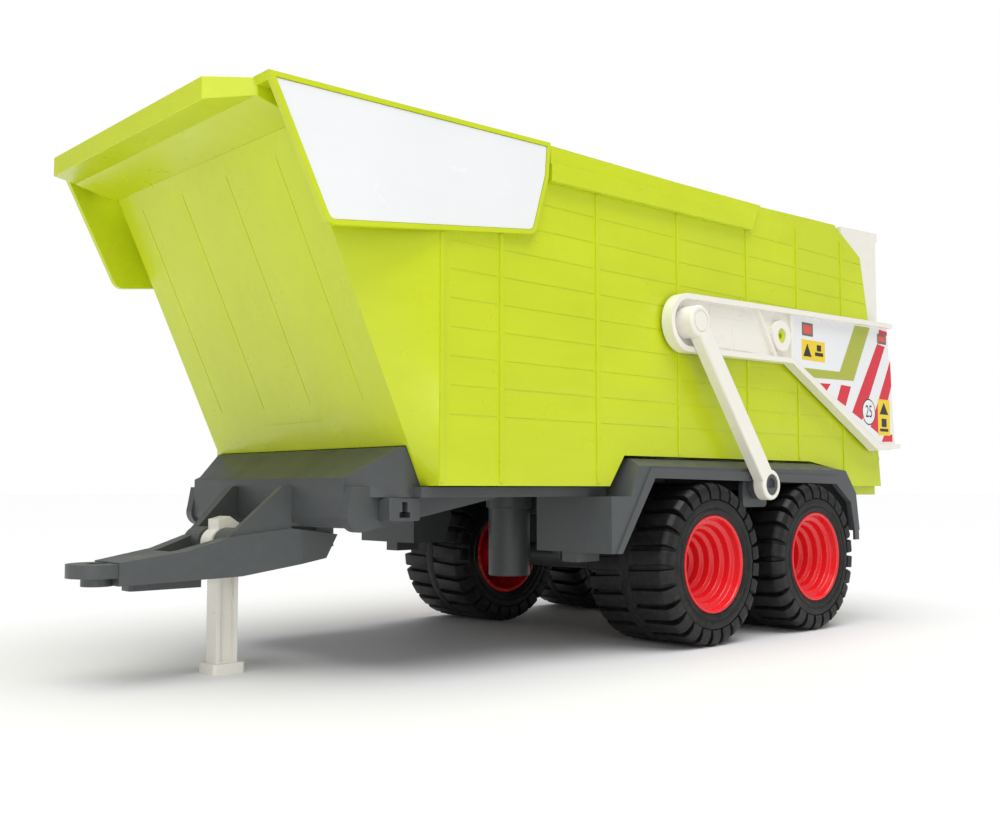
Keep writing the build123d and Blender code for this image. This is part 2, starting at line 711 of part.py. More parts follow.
def make_mudguards():
    relief = 0.6
    face = guard_y - relief
    inner = [(91.75, 30.0), (91.75, deck_low_z - 2), (81.6, deck_low_z - 2), (76.0, guard_top_z - 2),
             (-46.3, guard_top_z - 2), (-66.4, 66.9), (-74.3, 57.8), (-76.9, 30.0)]
    with BuildPart() as guard:
        with BuildSketch(side_plane(face)):
            outline(shifted(guard_outer))
        extrude(amount=face - guard_in_y)
        with BuildSketch(side_plane(face - guard_wall)):
            outline(shifted(inner))
        extrude(amount=face, mode=Mode.SUBTRACT)
        with BuildSketch(side_plane(face)):
            outline(shifted(guard_open))
        extrude(amount=guard_wall + 1, mode=Mode.SUBTRACT)
        with BuildSketch(side_plane(guard_y)):
            outline(shifted(guard_lip))
            outline(shifted(guard_open), mode=Mode.SUBTRACT)
            with Locations((bogie_x, 20.0)):
                Rectangle(300.0, 2 * 17.5, mode=Mode.SUBTRACT)
        extrude(amount=relief + 0.5)
        with BuildSketch(side_plane(guard_in_y + guard_wall)):
            outline(shifted([(93.75, 37.5), (93.75, deck_low_z), (83.0, deck_low_z), (76.0, deck_low_z),
                             (72.5, 50.0), (76.0, 37.5)]))
        extrude(amount=guard_wall)
        with BuildSketch(side_plane(guard_y + 1)):
            with Locations((link_foot_x, link_foot_z)):
                Circle(link_eye_radius + 0.2)
            with Locations((link_foot_x, link_foot_z - 5.0)):
                Rectangle(2 * link_eye_radius + 0.4, 10.0)
        extrude(amount=guard_wall + relief + 1.2, mode=Mode.SUBTRACT)
        with BuildSketch(Plane.YZ):
            outline([(wall_y + 0.05, guard_top_z + 0.1), (guard_y + 1, guard_top_z + 0.1), (guard_y + 1, 68.0)])
        extrude(amount=200, both=True, mode=Mode.SUBTRACT)
        with BuildSketch(Plane.XY.offset(deck_low_z)):
            with Locations((bogie_x + 87.5, 47.0), (bogie_x + 87.5, 58.0)):
                Circle(1.1)
        extrude(amount=-guard_wall, mode=Mode.SUBTRACT)
        with BuildSketch(Plane.XY.offset(33.8)):
            with Locations((bogie_x + 86.9, 53.2)):
                Rectangle(12.0, 7.5)
        extrude(amount=10.0)
    both_sides(guard, "mudguard")


def make_bogie():
    boss_radius = 5.0
    boss_out = tyre_inner_y - seat_gap
    half = axle_gap / 2
    with BuildPart() as bogie:
        for y in (rail_y + rail_thick, -rail_y):
            with BuildSketch(side_plane(y)):
                outline([(bogie_x - half - 14.0, rail_low_z), (bogie_x + half + 14.0, rail_low_z),
                         (bogie_x + half + boss_radius, tyre_radius),
                         (bogie_x + half, tyre_radius - boss_radius),
                         (bogie_x + 12.0, 42.0), (bogie_x - 12.0, 42.0),
                         (bogie_x - half, tyre_radius - boss_radius),
                         (bogie_x - half - boss_radius, tyre_radius)])
            extrude(amount=rail_thick)
        with BuildSketch(Plane.XY.offset(46.0)):
            with Locations((bogie_x, 0)):
                Rectangle(30.0, 2 * rail_y)
        extrude(amount=4.0)
        with BuildSketch(side_plane(boss_out)):
            with Locations((bogie_x - half, tyre_radius), (bogie_x + half, tyre_radius)):
                Circle(boss_radius)
        extrude(amount=2 * boss_out)
        with BuildSketch(side_plane(boss_out)):
            with Locations((bogie_x - half, tyre_radius), (bogie_x + half, tyre_radius)):
                Circle(axle_radius)
        extrude(amount=2 * boss_out, mode=Mode.SUBTRACT)
    keep(bogie, "bogie_frame")


def make_ram():
    x = bogie_x + 72.75
    radius = 8.6
    with BuildPart() as ram:
        with BuildSketch(Plane.XY.offset(25.0)):
            with Locations((x, 0)):
                Circle(radius)
                Circle(radius - wall, mode=Mode.SUBTRACT)
        extrude(amount=deck_low_z - 25.0)
        with BuildSketch(Plane.XY.offset(40.0)):
            with Locations((x, 0)):
                Circle(radius - wall / 2)
        extrude(amount=wall)
        with BuildSketch(Plane.XY.offset(deck_low_z - 5)):
            with Locations((x, 0)):
                Circle(radius + 1.0)
                Circle(radius - wall / 2, mode=Mode.SUBTRACT)
        extrude(amount=5)
    keep(ram, "ram_housing")
    with BuildPart() as portal:
        with BuildSketch(Plane(origin=(bogie_x + 60.0, 0, 0), x_dir=(0, 1, 0), z_dir=(1, 0, 0))) as face:
            with Locations((0, (32.0 + deck_low_z) / 2)):
                Rectangle(39.0, deck_low_z - 32.0)
            with Locations((0, 38.0)):
                Rectangle(30.0, 24.0, mode=Mode.SUBTRACT)
            fillet(face.vertices().sort_by_distance((0, 50.0, 0))[0:2], 4.0)
        extrude(amount=3.0)
    keep(portal, "ram_portal")


def make_link_pins():
    shoulder = 2.9
    end = link_y + link_thick - 0.3
    with BuildPart() as pin:
        with BuildSketch(side_plane(bracket_y + shoulder)):
            with Locations((link_foot_x, link_foot_z)):
                Circle(link_eye_radius - 0.4)
        extrude(amount=shoulder)
        with BuildSketch(side_plane(end)):
            with Locations((link_foot_x, link_foot_z)):
                Circle(link_pin_radius)
        extrude(amount=end - bracket_y)
        with BuildSketch(side_plane(end)) as slot:
            with Locations((link_foot_x, link_foot_z)):
                Circle(2.7)
            with Locations((link_foot_x, link_foot_z - 4.2)):
                Rectangle(12.0, 6.0, mode=Mode.SUBTRACT)
        extrude(amount=1.5, mode=Mode.SUBTRACT)
    both_sides(pin, "link_pin")


def make_hinge_pin():
    reach = rail_y + rail_thick + seat_gap + 5.0 + seat_gap
    with BuildPart() as pin:
        with BuildSketch(side_plane(reach)):
            with Locations((hinge_x, hinge_z)):
                Circle(hinge_pin_radius)
        extrude(amount=2 * reach)
        for y in (reach + 1.4, -reach):
            with BuildSketch(side_plane(y)):
                with Locations((hinge_x, hinge_z)):
                    Circle(3.2)
            extrude(amount=1.4)
    keep(pin, "body_hinge_pin")


# ---------------------------------------------------------------- drawbar and leg
arm_side = [(247.5, 37.7), (224.25, 41.1), (209.25, 45.45), (191.0, 47.6), (173.25, 45.2),
            (177.75, 37.35), (207.0, 32.55), (246.75, 30.9)]
saddle = [172.5, 179.5]


def drawbar_plan(inset):
    """Plan outline of the two arms, inset from their outer faces."""
    rear = bogie_x + 160.0
    nose = bogie_x + 244.5 - inset * 5
    return [(rear, inset - arm_y), (bogie_x + 187.5, inset - arm_y), (nose, inset - 9.0),
            (nose, 9.0 - inset), (bogie_x + 187.5, arm_y - inset), (rear, arm_y - inset)]


def make_drawbar():
    boss_in = leg_hub_half + running
    with BuildPart() as bar:
        with BuildSketch(side_plane(arm_y)):
            outline(shifted(arm_side))
        extrude(amount=2 * arm_y)
        with BuildSketch(Plane.XY.offset(20)):
            outline(drawbar_plan(0.0))
        extrude(amount=60, mode=Mode.INTERSECT)
        with BuildSketch(Plane.XY.offset(20)):
            outline(drawbar_plan(arm_thick))
            with Locations((bogie_x + 263.0, 0)):
                Rectangle(100.0, 100.0, mode=Mode.SUBTRACT)
        extrude(amount=60, mode=Mode.SUBTRACT)
        with BuildSketch(Plane.XY.offset(34.5)):
            outline(drawbar_plan(arm_thick))
            with Locations((bogie_x + 276.5, 0)):
                Rectangle(100.0, 100.0, mode=Mode.SUBTRACT)
        extrude(amount=60, mode=Mode.SUBTRACT)
        with BuildSketch(Plane.XY.offset(hitch_low_z)):
            with Locations((hitch_x, 0)):
                Circle(hitch_radius)
        extrude(amount=hitch_high_z - hitch_low_z)
        with BuildSketch(Plane.XY.offset(30.8)):
            with Locations((hitch_x, 0)):
                Circle(4.8)
        extrude(amount=hitch_low_z - 30.8)
        with BuildSketch(Plane.XY.offset(28.7)):
            with Locations((bogie_x + 226.1, 0)):
                RectangleRounded(24.6, 7.0, 1.2)
        extrude(amount=4.5)
        for side in (1, -1):
            with BuildSketch(Plane(origin=(leg_x, side * boss_in, leg_z), z_dir=(0, side, 0))):
                Circle(5.2)
            extrude(amount=10.0)
        for side in (1, -1):
            run = Vector(19.5, side * -4.0, 0)
            across = Vector(run.Y, -run.X, 0)
            with BuildSketch(Plane(origin=(nose_x, side * 17.3, 0), x_dir=run, z_dir=across)):
                outline([(-0.5, 43.0), (-0.5, 61.4), (3.0, 61.4), (run.length, 46.0), (run.length, 43.0)])
            extrude(amount=1.6, both=True)
        with BuildSketch(Plane.XY.offset(47.6)):
            with Locations((nose_x - 10.0, 0)):
                Rectangle(20.0, 60.0)
        extrude(amount=20.0, mode=Mode.SUBTRACT)
        with BuildSketch(side_plane(leg_pin_reach)):
            with Locations((leg_x, leg_z)):
                Circle(leg_pin_radius)
        extrude(amount=2 * leg_pin_reach, mode=Mode.SUBTRACT)
        with BuildSketch(side_plane(arm_y - dowel_cover)):
            with Locations((dowel_x, dowel_z)):
                Circle(dowel_radius)
        extrude(amount=2 * (arm_y - dowel_cover), mode=Mode.SUBTRACT)
        with BuildSketch(Plane.XY.offset(20)):
            with Locations((hitch_x, 0)):
                Circle(hitch_bore)
        extrude(amount=30, mode=Mode.SUBTRACT)
    keep(bar, "drawbar")


def make_saddle():
    """Hanger under the deck that the drawbar arms are pinned to."""
    low = 41.0
    half = arm_y - arm_thick
    with BuildPart() as hanger:
        with BuildSketch(Plane.XY.offset(low)):
            with Locations((bogie_x + (saddle[0] + saddle[1]) / 2, 0)):
                Rectangle(saddle[1] - saddle[0], 2 * half)
        extrude(amount=71.0 - low)
        with BuildSketch(side_plane(half + 1)):
            with Locations((dowel_x, dowel_z)):
                Circle(dowel_radius)
        extrude(amount=2 * half + 2, mode=Mode.SUBTRACT)
        with BuildSketch(Plane.XY.offset(low + 5)):
            with Locations((bogie_x + (saddle[0] + saddle[1]) / 2, 0)):
                Rectangle(saddle[1] - saddle[0] - 3.0, 2 * half - 4.0)
        extrude(amount=80, mode=Mode.SUBTRACT)
        with BuildSketch(Plane.XY.offset(deck_low_z)):
            with Locations((bogie_x + 176.0, 0)):
                Rectangle(20.0, 60.0)
        extrude(amount=30, mode=Mode.SUBTRACT)
    keep(hanger, "drawbar_hanger")


def make_dowel():
    end = arm_y - dowel_cover
    with BuildPart() as dowel:
        with BuildSketch(side_plane(end)):
            with Locations((dowel_x, dowel_z)):
                Circle(dowel_radius)
        extrude(amount=2 * end)
    keep(dowel, "drawbar_dowel")


def make_screws():
    head_radius = 2.3
    head = 1.4
    with BuildPart() as guard_screws:
        for side in (1, -1):
            for y in (47.0, 58.0):
                place = Plane(origin=(bogie_x + 87.5, side * y, deck_low_z - guard_wall), z_dir=(0, 0, -1))
                with BuildSketch(place):
                    Circle(head_radius)
                extrude(amount=head)
                with BuildSketch(place):
                    Circle(1.1)
                extrude(amount=-guard_wall)
                with BuildSketch(place.offset(head)):
                    Rectangle(3.0, 0.6)
                    Rectangle(0.6, 3.0)
                extrude(amount=-0.6, mode=Mode.SUBTRACT)
    keep(guard_screws, "mudguard_screws")


def make_leg():
    half = 3.4
    web = 1.6
    with BuildPart() as leg:
        with BuildSketch(Plane.XY):
            with Locations((bogie_x + 204.5, 0)):
                RectangleRounded(11.6, 10.8, 1.2)
        extrude(amount=3.4)
        with BuildSketch(Plane.XY.offset(3.0)):
            with Locations((bogie_x + 204.6, 0)):
                Rectangle(7.7, 2 * half)
        extrude(amount=42.0)
        for side in (1, -1):
            with BuildSketch(side_plane(side * (half + web) / 2 + (half - web) / 2 + 0.01)):
                with Locations((bogie_x + 204.6, 20.9)):
                    RectangleRounded(5.1, 34.0, 0.5)
            extrude(amount=half - web + 0.02, mode=Mode.SUBTRACT)
        with BuildSketch(side_plane(half)):
            with Locations((leg_x, leg_z)):
                Circle(5.0)
            outline([(leg_x + 2.2, leg_z), (leg_x + 2.2, 50.5), (leg_x - 2.0, 51.5), (leg_x - 8.0, 47.5),
                     (leg_x - 6.8, 45.8), (leg_x - 4.4, leg_z)])
        extrude(amount=2 * half)
        with BuildSketch(side_plane(leg_hub_half)):
            with Locations((leg_x, leg_z)):
                Circle(3.6)
        extrude(amount=2 * leg_hub_half)
        with BuildSketch(side_plane(leg_hub_half)):
            with Locations((leg_x, leg_z)):
                Circle(leg_pin_radius + running)
        extrude(amount=2 * leg_hub_half, mode=Mode.SUBTRACT)
    keep(leg, "support_leg")
    with BuildPart() as pin:
        with BuildSketch(side_plane(leg_pin_reach)):
            with Locations((leg_x, leg_z)):
                Circle(leg_pin_radius)
        extrude(amount=2 * leg_pin_reach)
        chamfer(pin.edges(), 0.3)
    keep(pin, "leg_pin")


make_wheels()
make_axles()
make_side_walls()
make_front_wall()
make_floor()
make_hood()
make_shields()
make_top_rails()
make_gate_pivots()
make_gate_panel()
make_cheeks()
make_links()
make_chassis_frame()
make_side_lugs()
make_mudguards()
make_bogie()
make_ram()
make_link_pins()
make_hinge_pin()
make_drawbar()
make_saddle()
make_dowel()
make_screws()
make_leg()
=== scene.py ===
"""Finished look of a moulded toy tipping trailer: tyres, rims, skins, decals, finishes and a plain stage."""

import json
import math

import bmesh
import bpy
from mathutils import Matrix, Vector


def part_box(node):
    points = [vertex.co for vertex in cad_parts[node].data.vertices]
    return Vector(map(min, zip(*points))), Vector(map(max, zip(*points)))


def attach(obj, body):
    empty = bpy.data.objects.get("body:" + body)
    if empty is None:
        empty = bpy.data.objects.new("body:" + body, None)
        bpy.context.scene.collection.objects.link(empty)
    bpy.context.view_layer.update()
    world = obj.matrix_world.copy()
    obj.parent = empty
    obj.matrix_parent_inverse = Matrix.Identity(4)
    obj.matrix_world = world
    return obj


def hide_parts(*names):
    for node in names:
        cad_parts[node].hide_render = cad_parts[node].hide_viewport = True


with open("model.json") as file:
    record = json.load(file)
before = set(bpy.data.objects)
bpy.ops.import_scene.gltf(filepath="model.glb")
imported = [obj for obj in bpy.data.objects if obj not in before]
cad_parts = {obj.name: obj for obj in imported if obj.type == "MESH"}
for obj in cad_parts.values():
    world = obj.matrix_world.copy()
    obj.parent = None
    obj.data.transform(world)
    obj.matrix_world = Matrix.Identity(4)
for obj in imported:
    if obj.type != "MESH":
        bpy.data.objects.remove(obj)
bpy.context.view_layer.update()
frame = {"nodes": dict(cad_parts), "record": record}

bl_info = {
    "name": "Toy Tipping Trailer",
    "version": (1, 0, 0),
    "blender": (4, 5, 0),
    "location": "View3D > Sidebar > Trailer",
    "description": "Builds the tyres, rims, moulded skins, decals and finishes of a toy tipping trailer",
    "category": "Add Mesh",
}

MM = 0.001
WHEELS = [(end, side) for end in ("front", "rear") for side in ("left", "right")]
STEEL = ("axle_front", "axle_rear", "axle_caps", "body_hinge_pin", "leg_pin", "mudguard_screws")
WHITE = ("gate_panel", "gate_cheek_left", "gate_cheek_right", "link_arm_left", "link_arm_right",
         "support_leg")
FILM = ("shield_panel_left", "shield_panel_right")
GREEN = ("tub_side_left", "tub_side_right", "tub_front_wall", "tub_floor", "tub_hood", "shield_left",
         "shield_right", "top_rail_left", "top_rail_right", "gate_pivot_left", "gate_pivot_right")
GREY = ("chassis_frame", "keyhole_lug_left", "keyhole_lug_right", "mudguard_left", "mudguard_right",
        "bogie_frame", "ram_housing", "ram_portal", "link_pin_left", "link_pin_right", "drawbar",
        "drawbar_hanger", "drawbar_dowel")
BODY_OF = {node: body for body, nodes in frame["record"]["behaviour"]["bodies"].items() for node in nodes}

# Wheels, in millimetres from the wheel's own centre line.
BEAD_RADIUS = 18.4
CARCASS_STEPS = 144
BAR_START = 1.9            # from the middle of the tread to where a bar begins
BAR_LEAN = 0.8
BAR_INSET = 0.02           # from a bar's end to the tyre's side
BAR_BREAK = 0.22           # break on the edges of a bar
SIDEWALL_RING = 23.4       # radius of the zigzag ring on the sidewall
SIDEWALL_RING_INSET = 0.55
RIM_STEPS = 96
AXLE_BORE = 2.1
HUB_RADIUS = 4.3

# Layers of the printed film on the tailgate cheeks, in millimetres.
SHEET = 0.06
PRINT = 0.02
LENS_INSET = 1.1
RING_WIDTH = 0.55
NUMBER_SIZE = 8.2
NUMBER_NARROWING = 0.78

# Stage, in metres and degrees.
FLOOR_HALF = 12.0
CAMERA_PLACE = (0.32184, 0.33368, 0.06047)
CAMERA_YAW = 226.8046
CAMERA_PITCH = 3.75
SENSOR_WIDTH = 36.0
KEY_DIRECTION = (-0.12, -0.22, -1.0)
KEY_SPREAD = 58.0
SOFTBOX_PLACE = (0.85, 0.85, 0.42)
SOFTBOX_AIM = (0.08, 0.03, 0.09)
SOFTBOX_SIZE = 0.7


# ---------------------------------------------------------------- settings
class TyreSettings(bpy.types.PropertyGroup):
    """Tread and sidewall of the four tyres"""

    lug_count: bpy.props.IntProperty(name="Lugs", description="Bars round each half of the tread", default=26)
    lug_height: bpy.props.FloatProperty(name="Lug height", unit="LENGTH", default=1.9 * MM,
                                        description="Height of the bars over the tread floor")
    lug_width: bpy.props.FloatProperty(name="Lug width", description="Width of a bar round the tyre",
                                       default=5.5 * MM, unit="LENGTH")
    colour: bpy.props.FloatVectorProperty(name="Colour", description="Tyre compound", subtype="COLOR",
                                          default=(0.0048, 0.0046, 0.0047))


class RimSettings(bpy.types.PropertyGroup):
    """Stepped funnel rims"""

    rings: bpy.props.IntProperty(name="Rings", default=5,
                                 description="Steps between the rim's lip and its hub")
    colour: bpy.props.FloatVectorProperty(name="Colour", description="Rim plastic", subtype="COLOR",
                                          default=(0.74, 0.012, 0.018))


class MouldingSettings(bpy.types.PropertyGroup):
    """Moulded plastic of the tub, tailgate and chassis"""

    edge: bpy.props.FloatProperty(name="Edge radius", description="Rounding of the moulded edges",
                                  default=0.32 * MM, unit="LENGTH")
    green: bpy.props.FloatVectorProperty(name="Green", description="Tub plastic", subtype="COLOR",
                                         default=(0.565, 0.66, 0.010))
    grey: bpy.props.FloatVectorProperty(name="Grey", description="Chassis plastic", subtype="COLOR",
                                        default=(0.068, 0.074, 0.077))
    white: bpy.props.FloatVectorProperty(name="White", description="Tailgate and link plastic",
                                         subtype="COLOR", default=(0.84, 0.815, 0.74))


class DecalSettings(bpy.types.PropertyGroup):
    """Printed film on the tailgate cheeks and the side shields"""

    film: bpy.props.FloatVectorProperty(name="Film", description="White of the printed film", subtype="COLOR",
                                        default=(0.83, 0.84, 0.85))
    red: bpy.props.FloatVectorProperty(name="Red", description="Red stripes", subtype="COLOR",
                                       default=(0.68, 0.022, 0.045))
    olive: bpy.props.FloatVectorProperty(name="Olive", description="Olive band", subtype="COLOR",
                                         default=(0.42, 0.46, 0.055))
    yellow: bpy.props.FloatVectorProperty(name="Yellow", description="Yellow blocks", subtype="COLOR",
                                          default=(0.86, 0.62, 0.02))
    number: bpy.props.StringProperty(name="Number", description="Number on the round disc", default="25")


class StageSettings(bpy.types.PropertyGroup):
    """Floor, light and camera"""

    floor: bpy.props.FloatVectorProperty(name="Floor", description="Floor colour", subtype="COLOR",
                                         default=(0.78, 0.78, 0.785))
    key_power: bpy.props.FloatProperty(name="Key", default=3.1,
                                       description="Strength of the broad overhead light")
    fill_power: bpy.props.FloatProperty(name="Fill", description="Power of the front-left softbox in watts",
                                        default=2.6)
    sky: bpy.props.FloatProperty(name="Sky", description="Light from the surroundings", default=0.42)
    lens: bpy.props.FloatProperty(name="Lens", description="Camera lens in millimetres", default=39.85)


# ---------------------------------------------------------------- shader helpers
def group_frame(name, inputs, outputs):
    """An empty shader group with named float, colour and vector sockets."""
    tree = bpy.data.node_groups.new(name, "ShaderNodeTree")
    for label, kind, value in inputs:
        socket = tree.interface.new_socket(label, in_out="INPUT", socket_type=kind)
        if value is not None:
            socket.default_value = value
    for label, kind in outputs:
        tree.interface.new_socket(label, in_out="OUTPUT", socket_type=kind)
    return tree, tree.nodes.new("NodeGroupInput"), tree.nodes.new("NodeGroupOutput")


def noise(tree, vector, scale, detail=3.0, rough=0.5):
    """A noise texture's value; the scale may be a number or a socket."""
    node = tree.nodes.new("ShaderNodeTexNoise")
    node.inputs["Detail"].default_value = detail
    node.inputs["Roughness"].default_value = rough
    tree.links.new(vector, node.inputs["Vector"])
    if isinstance(scale, (int, float)):
        node.inputs["Scale"].default_value = scale
    else:
        tree.links.new(scale, node.inputs["Scale"])
    return node.outputs["Fac"]


def spread(tree, value, low, high, to_low, to_high):
    """A value taken from one range to another."""
    node = tree.nodes.new("ShaderNodeMapRange")
    node.inputs["From Min"].default_value = low
    node.inputs["From Max"].default_value = high
    for label, end in (("To Min", to_low), ("To Max", to_high)):
        if isinstance(end, (int, float)):
            node.inputs[label].default_value = end
        else:
            tree.links.new(end, node.inputs[label])
    tree.links.new(value, node.inputs["Value"])
    return node.outputs["Result"]


def sums(tree, operation, a, b):
    """One step of arithmetic on numbers or sockets."""
    node = tree.nodes.new("ShaderNodeMath")
    node.operation = operation
    for socket, value in zip(node.inputs, (a, b)):
        if isinstance(value, (int, float)):
            socket.default_value = value
        else:
            tree.links.new(value, socket)
    return node.outputs[0]


def mixed(tree, factor, a, b, blend="MIX"):
    """Two colours mixed by a factor."""
    node = tree.nodes.new("ShaderNodeMix")
    node.data_type = "RGBA"
    node.blend_type = blend
    for label, value in (("Factor", factor), ("A", a), ("B", b)):
        kind = "VALUE" if label == "Factor" else "RGBA"
        socket = [s for s in node.inputs if s.name == label and s.type == kind][0]
        if isinstance(value, (int, float)):
            socket.default_value = value
        elif isinstance(value, tuple):
            socket.default_value = (*value[:3], 1.0)
        else:
            tree.links.new(value, socket)
    return [s for s in node.outputs if s.type == "RGBA"][0]


def moulded_group():
    """Cloudy pigment, flow streaks and the fine grain of the mould."""
    tree, given, out = group_frame(
        "Moulded pigment",
        [("Place", "NodeSocketVector", None), ("Colour", "NodeSocketColor", (0.5, 0.5, 0.5, 1.0)),
         ("Cloud", "NodeSocketFloat", 0.06), ("Grain Size", "NodeSocketFloat", 2600.0),
         ("Sheen Low", "NodeSocketFloat", 0.28), ("Sheen High", "NodeSocketFloat", 0.40)],
        [("Colour", "NodeSocketColor"), ("Sheen", "NodeSocketFloat"), ("Height", "NodeSocketFloat")])
    place = given.outputs["Place"]
    cloud = noise(tree, place, scale=26.0, detail=4.0, rough=0.55)
    stretch = tree.nodes.new("ShaderNodeMapping")
    stretch.inputs["Scale"].default_value = (0.16, 1.0, 1.0)
    tree.links.new(place, stretch.inputs["Vector"])
    flow = noise(tree, stretch.outputs["Vector"], scale=210.0, detail=2.0, rough=0.5)
    both = sums(tree, "ADD", sums(tree, "MULTIPLY", cloud, 0.7), sums(tree, "MULTIPLY", flow, 0.3))
    low = sums(tree, "SUBTRACT", 1.0, given.outputs["Cloud"])
    high = sums(tree, "ADD", 1.0, given.outputs["Cloud"])
    gain = spread(tree, both, 0.3, 0.7, low, high)
    grey = tree.nodes.new("ShaderNodeCombineColor")
    for socket in grey.inputs:
        tree.links.new(gain, socket)
    shade = mixed(tree, 1.0, given.outputs["Colour"], grey.outputs["Color"], "MULTIPLY")
    tree.links.new(shade, out.inputs["Colour"])
    patch = noise(tree, place, scale=70.0, detail=3.0, rough=0.6)
    tree.links.new(spread(tree, patch, 0.3, 0.7, given.outputs["Sheen Low"], given.outputs["Sheen High"]),
                   out.inputs["Sheen"])
    grain = noise(tree, place, given.outputs["Grain Size"], detail=2.0, rough=0.6)
    swell = noise(tree, place, scale=34.0, detail=2.0, rough=0.4)
    tree.links.new(sums(tree, "ADD", sums(tree, "MULTIPLY", grain, 0.12), swell), out.inputs["Height"])
    return tree


def scuff_group():
    """Hair-fine handling marks."""
    tree, given, out = group_frame(
        "Handling marks",
        [("Place", "NodeSocketVector", None), ("Amount", "NodeSocketFloat", 0.5)],
        [("Mask", "NodeSocketFloat")])
    askew = tree.nodes.new("ShaderNodeMapping")
    askew.inputs["Rotation"].default_value = (0.35, 0.6, 0.25)
    askew.inputs["Scale"].default_value = (0.05, 1.0, 1.0)
    tree.links.new(given.outputs["Place"], askew.inputs["Vector"])
    lines = noise(tree, askew.outputs["Vector"], scale=1500.0, detail=2.0, rough=0.6)
    where = noise(tree, given.outputs["Place"], scale=55.0, detail=2.0, rough=0.5)
    hair = spread(tree, lines, 0.66, 0.72, 0.0, 1.0)
    patch = spread(tree, where, 0.5, 0.62, 0.0, 1.0)
    tree.links.new(sums(tree, "MULTIPLY", sums(tree, "MULTIPLY", hair, patch), given.outputs["Amount"]),
                   out.inputs["Mask"])
    return tree


def dust_group():
    """Fine dust that settles low on the piece."""
    tree, given, out = group_frame(
        "Settled dust",
        [("Place", "NodeSocketVector", None), ("Amount", "NodeSocketFloat", 0.2)],
        [("Mask", "NodeSocketFloat")])
    split = tree.nodes.new("ShaderNodeSeparateXYZ")
    tree.links.new(given.outputs["Place"], split.inputs["Vector"])
    low = spread(tree, split.outputs["Z"], 0.0, 0.075, 1.0, 0.15)
    specks = noise(tree, given.outputs["Place"], scale=420.0, detail=5.0, rough=0.7)
    cover = spread(tree, specks, 0.42, 0.75, 0.0, 1.0)
    tree.links.new(sums(tree, "MULTIPLY", sums(tree, "MULTIPLY", low, cover), given.outputs["Amount"]),
                   out.inputs["Mask"])
    return tree


def effect(name, builder):
    """A shader group by name, built the first time it is asked for."""
    return bpy.data.node_groups.get(name) or builder()


def material_base(name):
    """A new material with its shader, its output and Object coordinates."""
    material = bpy.data.materials.new(name)
    material.use_nodes = True
    tree = material.node_tree
    tree.nodes.clear()
    shader = tree.nodes.new("ShaderNodeBsdfPrincipled")
    out = tree.nodes.new("ShaderNodeOutputMaterial")
    tree.links.new(shader.outputs["BSDF"], out.inputs["Surface"])
    place = tree.nodes.new("ShaderNodeTexCoord").outputs["Object"]
    return material, tree, shader, place


def placed_group(tree, name, builder, place, **values):
    """A group node in a material, with its own values; an underscore stands for a space."""
    node = tree.nodes.new("ShaderNodeGroup")
    node.node_tree = effect(name, builder)
    tree.links.new(place, node.inputs["Place"])
    for label, value in values.items():
        socket = node.inputs[label.replace("_", " ")]
        socket.default_value = (*value[:3], 1.0) if hasattr(value, "__len__") else value
    return node


def roughened(tree, sheen, mask, share):
    """A sheen made duller where a mask is strong."""
    return sums(tree, "ADD", sheen, sums(tree, "MULTIPLY", mask, share))


def relief(tree, shader, height, strength, distance):
    """Fine relief over the surface, from a height."""
    bump = tree.nodes.new("ShaderNodeBump")
    bump.inputs["Strength"].default_value = strength
    bump.inputs["Distance"].default_value = distance
    tree.links.new(height, bump.inputs["Height"])
    tree.links.new(bump.outputs["Normal"], shader.inputs["Normal"])


def plastic(name, colour, sheen, cloud=0.05, dust=0.0, grain=2600.0, coat=0.0, depth=0.05, scuffs=0.35):
    """Moulded plastic with pigment clouds, fine grain, handling marks and a little dust."""
    if name in bpy.data.materials:
        return bpy.data.materials[name]
    material, tree, shader, place = material_base(name)
    skin = placed_group(tree, "Moulded pigment", moulded_group, place, Colour=colour, Cloud=cloud,
                        Grain_Size=grain, Sheen_Low=sheen[0], Sheen_High=sheen[1])
    marks = placed_group(tree, "Handling marks", scuff_group, place, Amount=scuffs)
    film = placed_group(tree, "Settled dust", dust_group, place, Amount=dust)
    lighter = tuple(min(1.0, c * 1.15 + 0.04) for c in colour)
    tone = mixed(tree, sums(tree, "MULTIPLY", marks.outputs["Mask"], 0.35), skin.outputs["Colour"], lighter)
    tree.links.new(mixed(tree, film.outputs["Mask"], tone, (0.38, 0.36, 0.33)), shader.inputs["Base Color"])
    rough = roughened(tree, skin.outputs["Sheen"], marks.outputs["Mask"], 0.18)
    tree.links.new(roughened(tree, rough, film.outputs["Mask"], 0.5), shader.inputs["Roughness"])
    shader.inputs["Coat Weight"].default_value = coat
    shader.inputs["Coat Roughness"].default_value = 0.12
    shader.inputs["IOR"].default_value = 1.5
    relief(tree, shader, skin.outputs["Height"], 0.35, depth * MM)
    return material


def tyre_compound(colour):
    """Matt black compound with dust settled low on it."""
    if "Tyre compound" in bpy.data.materials:
        return bpy.data.materials["Tyre compound"]
    material, tree, shader, place = material_base("Tyre compound")
    skin = placed_group(tree, "Moulded pigment", moulded_group, place, Colour=colour, Cloud=0.28,
                        Grain_Size=1500.0, Sheen_Low=0.42, Sheen_High=0.58)
    film = placed_group(tree, "Settled dust", dust_group, place, Amount=0.16)
    tree.links.new(mixed(tree, film.outputs["Mask"], skin.outputs["Colour"], (0.16, 0.15, 0.14)),
                   shader.inputs["Base Color"])
    tree.links.new(roughened(tree, skin.outputs["Sheen"], film.outputs["Mask"], 0.5),
                   shader.inputs["Roughness"])
    shader.inputs["Specular IOR Level"].default_value = 0.35
    relief(tree, shader, skin.outputs["Height"], 0.5, 0.12 * MM)
    return material


